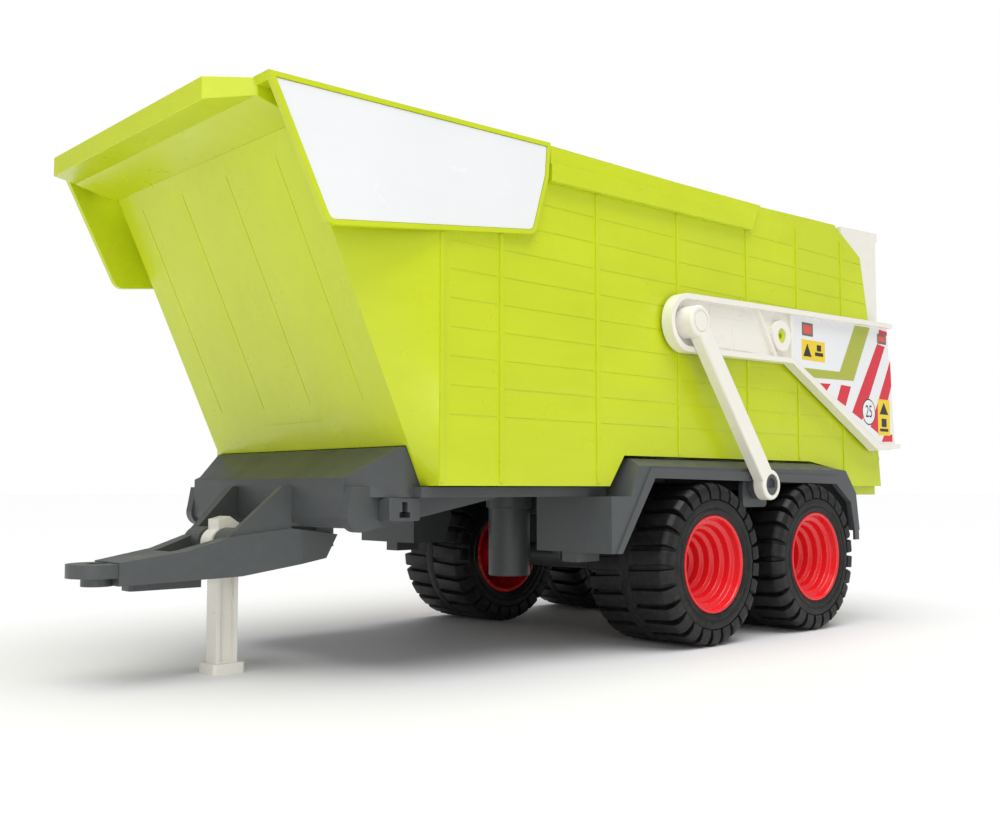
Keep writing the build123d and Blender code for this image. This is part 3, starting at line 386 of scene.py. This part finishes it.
def steel():
    """Ground steel of the pins, axles and screws."""
    if "Ground steel" in bpy.data.materials:
        return bpy.data.materials["Ground steel"]
    material, tree, shader, place = material_base("Ground steel")
    skin = placed_group(tree, "Moulded pigment", moulded_group, place, Colour=(0.56, 0.56, 0.57),
                        Cloud=0.08, Grain_Size=4200.0, Sheen_Low=0.24, Sheen_High=0.38)
    marks = placed_group(tree, "Handling marks", scuff_group, place, Amount=0.8)
    tree.links.new(skin.outputs["Colour"], shader.inputs["Base Color"])
    tree.links.new(roughened(tree, skin.outputs["Sheen"], marks.outputs["Mask"], 0.2),
                   shader.inputs["Roughness"])
    shader.inputs["Metallic"].default_value = 1.0
    relief(tree, shader, skin.outputs["Height"], 0.3, 0.03 * MM)
    return material


def film_material(name, colour):
    """Printed film with a faint orange peel under its gloss."""
    if name in bpy.data.materials:
        return bpy.data.materials[name]
    material, tree, shader, place = material_base(name)
    skin = placed_group(tree, "Moulded pigment", moulded_group, place, Colour=colour, Cloud=0.02,
                        Grain_Size=1900.0, Sheen_Low=0.2, Sheen_High=0.28)
    marks = placed_group(tree, "Handling marks", scuff_group, place, Amount=0.4)
    tree.links.new(skin.outputs["Colour"], shader.inputs["Base Color"])
    tree.links.new(roughened(tree, skin.outputs["Sheen"], marks.outputs["Mask"], 0.2),
                   shader.inputs["Roughness"])
    shader.inputs["Coat Weight"].default_value = 0.25
    shader.inputs["Coat Roughness"].default_value = 0.1
    relief(tree, shader, skin.outputs["Height"], 0.2, 0.02 * MM)
    return material


# ---------------------------------------------------------------- mesh helpers
def shaded(name, shape, material, smooth):
    """A bmesh made an object in the scene, smooth but for edges sharper than an angle in degrees."""
    mesh = bpy.data.meshes.new(name)
    shape.to_mesh(mesh)
    shape.free()
    mesh.polygons.foreach_set("use_smooth", [True] * len(mesh.polygons))
    mesh.set_sharp_from_angle(angle=math.radians(smooth))
    mesh.materials.append(material)
    obj = bpy.data.objects.new(name, mesh)
    bpy.context.scene.collection.objects.link(obj)
    return obj


def piece(name, shape, body, material, stands_for=(), smooth=32.0):
    """Turn a bmesh into a finished object that rides on a body."""
    bmesh.ops.remove_doubles(shape, verts=shape.verts, dist=1e-6)
    bmesh.ops.recalc_face_normals(shape, faces=shape.faces)
    obj = shaded(name, shape, material, smooth)
    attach(obj, body)
    if stands_for:
        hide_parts(*stands_for)


def round_edges(obj, width, segments, angle=38.0):
    """Round the sharp edges of a moulding, live, so that the mesh stays light."""
    modifier = obj.modifiers.new("Rounded edges", "BEVEL")
    modifier.width = width
    modifier.segments = segments
    modifier.limit_method = "ANGLE"
    modifier.angle_limit = math.radians(angle)
    modifier.harden_normals = True
    modifier.use_clamp_overlap = True


def turned(points, centre, steps, closed=False):
    """Spin an outline of (across, out) millimetre points about the Y line through centre."""
    shape = bmesh.new()
    verts = [shape.verts.new((centre[0], centre[1] + y * MM, centre[2] + r * MM)) for y, r in points]
    edges = [shape.edges.new(pair) for pair in zip(verts, verts[1:] + (verts[:1] if closed else []))]
    bmesh.ops.spin(shape, geom=verts + edges, cent=centre, axis=(0, 1, 0), dvec=(0, 0, 0),
                   angle=2 * math.pi, steps=steps, use_merge=True)
    return shape


def rounded(points, radius, segments=3):
    """Replace the corners of an open outline with short arcs."""
    out = [points[0]]
    for before, corner, after in zip(points, points[1:], points[2:]):
        a, b, c = Vector(before), Vector(corner), Vector(after)
        reach = min(radius, (a - b).length * 0.45, (c - b).length * 0.45)
        start = b + (a - b).normalized() * reach
        end = b + (c - b).normalized() * reach
        for i in range(segments + 1):
            t = i / segments
            point = start * (1 - t) ** 2 + b * 2 * t * (1 - t) + end * t ** 2
            out.append((point.x, point.y))
    out.append(points[-1])
    return out


def joined(target, other):
    """Pour one bmesh into another and free it."""
    spare = bpy.data.meshes.new("spare")
    other.to_mesh(spare)
    other.free()
    target.from_mesh(spare)
    bpy.data.meshes.remove(spare)


def mirrored(shape, side):
    """A left-hand shape turned into its right-hand twin, if the side asks for it."""
    if side == "right":
        bmesh.ops.scale(shape, vec=(1, -1, 1), verts=shape.verts)
        bmesh.ops.reverse_faces(shape, faces=shape.faces)
    return shape


def thickened(shape, vector):
    """Every face of a flat shape pulled out along a vector in millimetres, and closed."""
    grown = bmesh.ops.extrude_face_region(shape, geom=shape.faces[:])
    bmesh.ops.translate(shape, vec=Vector(vector) * MM,
                        verts=[v for v in grown["geom"] if isinstance(v, bmesh.types.BMVert)])
    return shape


def plate(points, y, thickness):
    """A flat plate from (x, z) millimetre corners, standing out from y towards +Y."""
    shape = bmesh.new()
    shape.faces.new([shape.verts.new((x * MM, y * MM, z * MM)) for x, z in points])
    thickened(shape, (0, thickness, 0))
    bmesh.ops.recalc_face_normals(shape, faces=shape.faces)
    return shape


# ---------------------------------------------------------------- wheels
def wheel_place(end):
    """A left wheel's centre in metres, and its inner face, outer face and radius in millimetres."""
    low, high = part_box(f"tyre_{end}_left")
    centre = ((low[0] + high[0]) / 2, 0.0, (low[2] + high[2]) / 2)
    return centre, low[1] / MM, high[1] / MM, (high[2] - low[2]) / 2 / MM


def lug(y_in, y_out, outer, width, lean, settings):
    """One tread bar: a long block across half the tread that turns down over the shoulder."""
    floor = outer - settings.lug_height / MM
    sign = 1 if y_out > y_in else -1
    outline = [(y_in, floor - 0.5), (y_in + sign * 0.4, outer - 0.05), (y_out - sign * 3.0, outer - 0.02),
               (y_out - sign * 0.9, outer - 1.3), (y_out, outer - 3.6), (y_out - sign * 0.1, outer - 6.4),
               (y_out - sign * 2.2, outer - 6.6), (y_out - sign * 4.2, floor - 0.6)]
    shape = bmesh.new()
    shape.faces.new([shape.verts.new((-width / 2 * MM, y * MM, r * MM)) for y, r in outline])
    thickened(shape, (width, 0, 0))
    for vert in shape.verts:
        across = abs(vert.co.y / MM - y_out) / abs(y_out - y_in)
        vert.co.x *= 1.0 if across > 0.2 else 0.9
        vert.co.x += lean * MM * (1.0 if across > 0.55 else 0.0)
    bmesh.ops.recalc_face_normals(shape, faces=shape.faces)
    tops = [e for e in shape.edges if all(v.co.z / MM > outer - 5.0 for v in e.verts)]
    bmesh.ops.bevel(shape, geom=tops, offset=BAR_BREAK * MM, segments=1, profile=0.5, affect="EDGES",
                    material=-1)
    return shape


def repeated(shape, centre, count, start=0.0):
    """Copies of a shape made about the X-Z origin, set round a Y line through centre."""
    bmesh.ops.rotate(shape, cent=(0, 0, 0), matrix=Matrix.Rotation(start, 3, "Y"), verts=shape.verts)
    bmesh.ops.translate(shape, vec=centre, verts=shape.verts)
    geometry = shape.verts[:] + shape.edges[:] + shape.faces[:]
    bmesh.ops.spin(shape, geom=geometry, cent=centre, axis=(0, 1, 0), dvec=(0, 0, 0),
                   angle=2 * math.pi * (count - 1) / count, steps=count - 1, use_duplicate=True)
    return shape


def tyre_outline(y0, y1, outer, height, bore=BEAD_RADIUS):
    """Carcass from bead to bead over the tread floor, with sidewall rings."""
    floor = outer - height
    side = [(1.3, bore + 0.05), (0.9, bore + 1.0), (0.75, bore + 1.6), (0.3, bore + 2.0), (0.3, bore + 2.7),
            (0.75, bore + 3.0), (0.7, bore + 3.6), (0.3, bore + 4.0), (0.25, bore + 6.2), (0.7, bore + 6.6),
            (1.0, floor - 4.0), (2.0, floor - 2.1), (4.2, floor - 0.4), (6.4, floor)]
    left = [(y0 + a, r) for a, r in side]
    right = [(y1 - a, r) for a, r in reversed(side)]
    middle = (y0 + y1) / 2
    band = [(middle - 2.6, floor + 0.05), (middle - 2.2, outer - 0.05), (middle + 2.2, outer - 0.05),
            (middle + 2.6, floor + 0.05)]
    return rounded(left + band + right, 0.4, 2)


class TRAILER_OT_tyres(bpy.types.Operator):
    """Build the four tyres with their tread bars and sidewall rings"""

    bl_idname = "trailer.tyres"
    bl_label = "Tyres"

    def execute(self, context):
        settings = context.scene.trailer_tyres
        material = tyre_compound(tuple(settings.colour))
        for end, side in WHEELS:
            centre, y0, y1, outer = wheel_place(end)
            middle = (y0 + y1) / 2
            shape = turned(tyre_outline(y0, y1, outer, settings.lug_height / MM), centre, CARCASS_STEPS)
            width = settings.lug_width / MM
            step = 2 * math.pi / settings.lug_count
            outer_bars = lug(middle + BAR_START, y1 - BAR_INSET, outer, width, BAR_LEAN, settings)
            joined(shape, repeated(outer_bars, centre, settings.lug_count))
            inner_bars = lug(middle - BAR_START, y0 + BAR_INSET, outer, width, -BAR_LEAN, settings)
            joined(shape, repeated(inner_bars, centre, settings.lug_count, step / 2))
            ring = chevron(y1 - SIDEWALL_RING_INSET, SIDEWALL_RING, step)
            joined(shape, repeated(ring, centre, settings.lug_count // 2))
            kept_inside(shape, centre, outer * MM)
            mirrored(shape, side)
            piece(f"tyre_{end}_{side}_treaded", shape, f"wheel_{end}_{side}", material,
                  (f"tyre_{end}_{side}",), 28.0)
        return {"FINISHED"}


def kept_inside(shape, centre, radius):
    """Pull what stands out past a radius about a Y line back to it."""
    for vert in shape.verts:
        away = Vector((vert.co.x - centre[0], vert.co.z - centre[2]))
        if away.length > radius:
            away = away.normalized() * radius
            vert.co.x = centre[0] + away.x
            vert.co.z = centre[2] + away.y


def chevron(y, radius, step, half=0.22, height=0.3):
    """A raised zigzag bar on the sidewall, one tooth of a ring."""
    shape = bmesh.new()
    teeth = [(-1.0, -1.3), (-0.75, -1.3), (-0.25, 1.3), (0.25, 1.3), (0.75, -1.3), (1.0, -1.3)]
    verts = []
    for offset in (-half, half):
        row = []
        for turn, rise in teeth:
            angle = turn * step
            r = (radius + rise * 0.5 + offset) * MM
            row.append(shape.verts.new((r * math.sin(angle), y * MM, r * math.cos(angle))))
        verts.append(row)
    for a, b, c, d in zip(verts[0], verts[0][1:], verts[1][1:], verts[1]):
        shape.faces.new((a, b, c, d))
    thickened(shape, (0, height, 0))
    bmesh.ops.recalc_face_normals(shape, faces=shape.faces)
    return shape


def rim_outline(y0, y1, rings):
    """Closed section of a rim: the rounded lip, the stepped funnel, the hub and the back."""
    face = y1 - 0.6
    radius, deep = 17.0, face - 3.4
    dish = [(face - 1.6, 18.5), (face - 0.45, 18.9), (face, 18.6), (face - 0.1, 17.9), (face - 0.7, 17.5),
            (deep, radius)]
    for _ in range(rings):
        dish += [(deep - 0.2, radius - 1.5), (deep - 0.6, radius - 1.85), (deep - 3.3, radius - 2.0)]
        radius -= 2.0
        deep -= 3.5
    hub = [(deep, HUB_RADIUS + 0.3), (deep - 0.4, HUB_RADIUS), (52.0, HUB_RADIUS), (52.0, AXLE_BORE),
           (y0 + 0.1, AXLE_BORE), (y0 + 0.1, 4.9), (46.0, 4.9)]
    back = [(deep - 3.0, 8.8), (face - 10.2, 16.7), (y0 + 1.6, 16.7), (y0 + 1.4, 17.0), (y0 + 1.4, 18.1),
            (y0 + 1.7, 18.38), (face - 1.9, 18.38)]
    return rounded(dish + hub + back, 0.35, 2)


class TRAILER_OT_rims(bpy.types.Operator):
    """Build the four funnel rims with their rounded rings"""

    bl_idname = "trailer.rims"
    bl_label = "Rims"

    def execute(self, context):
        settings = context.scene.trailer_rims
        material = plastic("Red rim plastic", tuple(settings.colour), sheen=(0.22, 0.3), cloud=0.03, coat=0.2,
                           depth=0.03)
        for end, side in WHEELS:
            centre, y0, y1, _ = wheel_place(end)
            shape = turned(rim_outline(y0, y1, settings.rings), centre, RIM_STEPS, closed=True)
            mirrored(shape, side)
            piece(f"rim_{end}_{side}_stepped", shape, f"wheel_{end}_{side}", material,
                  (f"rim_{end}_{side}",), 50.0)
        return {"FINISHED"}


# ---------------------------------------------------------------- moulded skins
def skin(node, material, slot, width, segments=2):
    """A merged copy of a moulding, its edges rounded, that stands for the node."""
    shape = bmesh.new()
    shape.from_mesh(frame["nodes"][node].data)
    bmesh.ops.remove_doubles(shape, verts=shape.verts, dist=2e-6)
    bmesh.ops.dissolve_limit(shape, angle_limit=math.radians(0.8), verts=shape.verts, edges=shape.edges,
                             use_dissolve_boundaries=False, delimit={"NORMAL"})
    obj = shaded(f"{node}_skin", shape, material, 32.0)
    round_edges(obj, width, segments)
    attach(obj, BODY_OF[node])
    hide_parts(node)


class TRAILER_OT_tub(bpy.types.Operator):
    """Finish the tub, hood, shields and rails in green moulded plastic"""

    bl_idname = "trailer.tub"
    bl_label = "Tub"

    def execute(self, context):
        settings = context.scene.trailer_mouldings
        green = plastic("Lime plastic", tuple(settings.green), sheen=(0.26, 0.36), coat=0.08)
        for node in GREEN:
            finer = 0.5 if node.startswith("tub_side") else 1.0
            skin(node, green, "green_plastic", settings.edge * finer)
        return {"FINISHED"}


class TRAILER_OT_chassis(bpy.types.Operator):
    """Finish the chassis, mudguards and drawbar in grey moulded plastic"""

    bl_idname = "trailer.chassis"
    bl_label = "Chassis"

    def execute(self, context):
        settings = context.scene.trailer_mouldings
        grey = plastic("Slate plastic", tuple(settings.grey), sheen=(0.36, 0.48), cloud=0.08, dust=0.06,
                       grain=1900.0, depth=0.08)
        for node in GREY:
            skin(node, grey, "grey_plastic", settings.edge * 1.2)
        metal = steel()
        for node in STEEL:
            data = frame["nodes"][node].data
            data.materials.clear()
            data.materials.append(metal)
        return {"FINISHED"}


class TRAILER_OT_tailgate(bpy.types.Operator):
    """Finish the tailgate, link arms and support leg in white moulded plastic"""

    bl_idname = "trailer.tailgate"
    bl_label = "Tailgate and links"

    def execute(self, context):
        settings = context.scene.trailer_mouldings
        white = plastic("Ivory plastic", tuple(settings.white), sheen=(0.26, 0.36), cloud=0.02, dust=0.02,
                        coat=0.08)
        for node in WHITE:
            skin(node, white, "white_plastic", settings.edge)
        return {"FINISHED"}


# ---------------------------------------------------------------- decals
# All places are (x, z) in millimetres, on the floor of the left cheek.
CHEEK_FLOOR = 72.6
FILM_SHEET = [(-97.0, 137.0), (-178.9, 137.9), (-181.6, 136.5), (-184.8, 83.2), (-172.5, 82.2),
              (-97.0, 117.8)]
BAND = [(-150.8, 136.9), (-164.8, 137.1), (-148.6, 110.6), (-114.5, 109.7), (-106.0, 113.6), (-136.3, 114.0)]
STRIPES = [
    [(-119.0, 107.7), (-128.4, 107.9), (-124.8, 104.6)],
    [(-137.4, 108.1), (-146.2, 107.8), (-141.0, 98.4), (-133.6, 101.0)],
    [(-171.5, 130.0), (-179.0, 129.2), (-155.8, 92.6), (-146.8, 95.9)],
    [(-184.0, 123.0), (-184.6, 110.5), (-172.2, 86.4), (-163.5, 89.8)],
    [(-184.5, 86.9), (-184.6, 83.4), (-174.0, 83.0), (-176.0, 86.0)],
    [(-173.6, 137.2), (-181.4, 136.6), (-181.3, 134.9), (-173.0, 134.6)],
]
YELLOWS = [(-104.6, -123.8, 117.2, 126.2), (-170.8, -182.4, 86.2, 103.4)]
LAMPS = [(-105.0, -114.0, 127.9, 133.8), (-171.6, -180.2, 130.2, 135.0)]
DISC = (-162.2, 96.8, 6.2)


def oblong(x0, x1, z0, z1, inset=0.0):
    """Corners of a rectangle, drawn in from its sides by an inset."""
    low, high = min(x0, x1) + inset, max(x0, x1) - inset
    return [(low, z0 + inset), (high, z0 + inset), (high, z1 - inset), (low, z1 - inset)]


def ring_points(x, z, radius, count=40):
    """Points round a disc."""
    return [(x + radius * math.cos(2 * math.pi * i / count), z + radius * math.sin(2 * math.pi * i / count))
            for i in range(count)]


def block_marks(x0, x1, z0, z1):
    """Plain dark shapes on a yellow block: a triangle and two bars, side by side or one over the other."""
    if abs(x1 - x0) > abs(z1 - z0):
        return [[(x0 - 1.2, z0 + 1.6), (x0 - 8.0, z0 + 1.6), (x0 - 4.6, z1 - 1.6)],
                oblong(x0 - 10.8, x0 - 17.6, z0 + 2.4, z0 + 4.0),
                oblong(x0 - 12.4, x0 - 16.0, z0 + 4.6, z1 - 1.6)]
    middle_x, middle_z = (x0 + x1) / 2, (z0 + z1) / 2
    return [[(x0 - 1.6, middle_z + 1.4), (x1 + 1.6, middle_z + 1.4), (middle_x, z1 - 1.4)],
            oblong(x0 - 1.8, x1 + 1.8, z0 + 1.8, z0 + 3.2),
            oblong(x0 - 3.4, x1 + 3.4, z0 + 4.0, middle_z - 0.6)]


def decal(name, outlines, side, material, layer=None):
    """Thin printed shapes on the cheek floor: the film itself, or a layer counted up from it."""
    shape = bmesh.new()
    for points in outlines:
        if layer is None:
            joined(shape, plate(points, CHEEK_FLOOR, SHEET))
        else:
            joined(shape, plate(points, CHEEK_FLOOR + SHEET + layer * PRINT, PRINT))
    mirrored(shape, side)
    piece(f"{name}_{side}", shape, "tailgate", material)


def numeral(text, side, material, y):
    """The disc's number as a thin mesh, upright and readable from outside."""
    curve = bpy.data.curves.new("disc_number", "FONT")
    curve.body = text
    curve.size = NUMBER_SIZE * MM
    curve.align_x = "CENTER"
    curve.align_y = "CENTER"
    curve.extrude = PRINT * MM
    holder = bpy.data.objects.new("disc_number", curve)
    bpy.context.scene.collection.objects.link(holder)
    mesh = bpy.data.meshes.new_from_object(holder.evaluated_get(bpy.context.evaluated_depsgraph_get()))
    bpy.data.objects.remove(holder)
    shape = bmesh.new()
    shape.from_mesh(mesh)
    bpy.data.meshes.remove(mesh)
    out = 1 if side == "left" else -1
    turn = Matrix(((-out, 0, 0), (0, 0, out), (0, 1, 0)))
    bmesh.ops.scale(shape, vec=(NUMBER_NARROWING, 1, 1), verts=shape.verts)
    bmesh.ops.rotate(shape, cent=(0, 0, 0), matrix=turn, verts=shape.verts)
    place = (DISC[0] * MM, out * y * MM, DISC[1] * MM)
    bmesh.ops.translate(shape, vec=place, verts=shape.verts)
    piece(f"disc_number_{side}", shape, "tailgate", material)


class TRAILER_OT_decals(bpy.types.Operator):
    """Lay the printed film on the tailgate cheeks and the side shields"""

    bl_idname = "trailer.decals"
    bl_label = "Decals"

    def execute(self, context):
        settings = context.scene.trailer_decals
        film = film_material("White film", tuple(settings.film))
        red = film_material("Red film", tuple(settings.red))
        olive = film_material("Olive film", tuple(settings.olive))
        yellow = film_material("Yellow film", tuple(settings.yellow))
        ink = film_material("Black ink", (0.02, 0.02, 0.022))
        bezel = film_material("Grey bezel print", (0.16, 0.14, 0.14))
        glow = film_material("Lamp print", (0.72, 0.10, 0.06))
        for node in FILM:
            skin(node, film, "white_plastic", 0.08 * MM, 1)
        marks = [mark for block in YELLOWS for mark in block_marks(*block)]
        x, z, radius = DISC
        for side in ("left", "right"):
            decal("cheek_film", [FILM_SHEET], side, film)
            decal("cheek_band", [BAND], side, olive, 0)
            decal("cheek_stripes", STRIPES, side, red, 0)
            decal("cheek_blocks", [oblong(*block) for block in YELLOWS], side, yellow, 1)
            decal("cheek_lamps", [oblong(*lamp) for lamp in LAMPS], side, bezel, 1)
            decal("cheek_lamp_lenses", [oblong(*lamp, LENS_INSET) for lamp in LAMPS], side, glow, 2)
            decal("cheek_block_marks", marks, side, ink, 2)
            decal("cheek_disc_ring", [ring_points(x, z, radius)], side, ink, 1)
            decal("cheek_disc", [ring_points(x, z, radius - RING_WIDTH)], side, film, 2)
            numeral(settings.number, side, ink, CHEEK_FLOOR + SHEET + 3.5 * PRINT)
        return {"FINISHED"}


# ---------------------------------------------------------------- stage
def facing(direction):
    """Rotation of a light or a camera that looks along a direction."""
    return direction.to_track_quat("-Z", "Y").to_euler()


def area_light(name, place, target, size, power):
    """A square soft light at a place, aimed at a target."""
    light = bpy.data.lights.new(name, "AREA")
    light.size = size
    light.energy = power
    lamp = bpy.data.objects.new(name, light)
    lamp.location = place
    lamp.rotation_euler = facing(Vector(target) - Vector(place))
    bpy.context.scene.collection.objects.link(lamp)


class TRAILER_OT_stage(bpy.types.Operator):
    """Lay the floor and set the lights and the camera"""

    bl_idname = "trailer.stage"
    bl_label = "Stage"

    def execute(self, context):
        settings = context.scene.trailer_stage
        scene = context.scene
        material, tree, shader, place = material_base("Studio floor")
        sweep = spread(tree, noise(tree, place, scale=3.0, detail=2.0, rough=0.5), 0.3, 0.7, 0.0, 0.04)
        tree.links.new(mixed(tree, sweep, tuple(settings.floor), (0.8, 0.8, 0.82)),
                       shader.inputs["Base Color"])
        shader.inputs["Roughness"].default_value = 0.6
        floor = bmesh.new()
        bmesh.ops.create_grid(floor, x_segments=1, y_segments=1, size=FLOOR_HALF)
        mesh = bpy.data.meshes.new("floor")
        floor.to_mesh(mesh)
        floor.free()
        mesh.materials.append(material)
        ground = bpy.data.objects.new("floor", mesh)
        scene.collection.objects.link(ground)
        world = bpy.data.worlds.new("Soft white room")
        world.use_nodes = True
        sky = world.node_tree
        sky.nodes["Background"].inputs["Color"].default_value = (1.0, 1.0, 1.0, 1.0)
        seen = sky.nodes.new("ShaderNodeLightPath").outputs["Is Camera Ray"]
        sky.links.new(spread(sky, seen, 0.0, 1.0, settings.sky, 1.0),
                      sky.nodes["Background"].inputs["Strength"])
        scene.world = world
        sun = bpy.data.lights.new("key", "SUN")
        sun.energy = settings.key_power
        sun.angle = math.radians(KEY_SPREAD)
        key = bpy.data.objects.new("key", sun)
        key.rotation_euler = facing(Vector(KEY_DIRECTION))
        scene.collection.objects.link(key)
        area_light("front_left_softbox", SOFTBOX_PLACE, SOFTBOX_AIM, SOFTBOX_SIZE, settings.fill_power)
        camera = bpy.data.cameras.new("camera")
        camera.lens = settings.lens
        camera.sensor_width = SENSOR_WIDTH
        camera.clip_start = 0.01
        camera.clip_end = 50.0
        view = bpy.data.objects.new("camera", camera)
        yaw, pitch = math.radians(CAMERA_YAW), math.radians(CAMERA_PITCH)
        forward = Vector((math.cos(yaw) * math.cos(pitch), math.sin(yaw) * math.cos(pitch), math.sin(pitch)))
        view.location = CAMERA_PLACE
        view.rotation_euler = facing(forward)
        scene.collection.objects.link(view)
        scene.camera = view
        scene.view_settings.view_transform = "Standard"
        return {"FINISHED"}


# ---------------------------------------------------------------- panel and registration
OPERATORS = (TRAILER_OT_tyres, TRAILER_OT_rims, TRAILER_OT_tub, TRAILER_OT_chassis, TRAILER_OT_tailgate,
             TRAILER_OT_decals, TRAILER_OT_stage)
SETTINGS = {"trailer_tyres": TyreSettings, "trailer_rims": RimSettings, "trailer_mouldings": MouldingSettings,
            "trailer_decals": DecalSettings, "trailer_stage": StageSettings}


class TRAILER_PT_panel(bpy.types.Panel):
    """Pieces of the toy trailer"""

    bl_label = "Toy trailer"
    bl_idname = "TRAILER_PT_panel"
    bl_space_type = "VIEW_3D"
    bl_region_type = "UI"
    bl_category = "Trailer"

    def draw(self, context):
        for operator in OPERATORS:
            self.layout.operator(operator.bl_idname)
        for name, group in SETTINGS.items():
            box = self.layout.box()
            for key in group.__annotations__:
                box.prop(getattr(context.scene, name), key)


def register():
    for cls in (*SETTINGS.values(), *OPERATORS, TRAILER_PT_panel):
        bpy.utils.register_class(cls)
    for name, group in SETTINGS.items():
        setattr(bpy.types.Scene, name, bpy.props.PointerProperty(type=group))


def unregister():
    for name in SETTINGS:
        delattr(bpy.types.Scene, name)
    for cls in reversed((*SETTINGS.values(), *OPERATORS, TRAILER_PT_panel)):
        bpy.utils.unregister_class(cls)


def main():
    register()
    bpy.ops.trailer.tyres()
    bpy.ops.trailer.rims()
    bpy.ops.trailer.tub()
    bpy.ops.trailer.chassis()
    bpy.ops.trailer.tailgate()
    bpy.ops.trailer.decals()
    bpy.ops.trailer.stage()


if __name__ == "__main__":
    main()
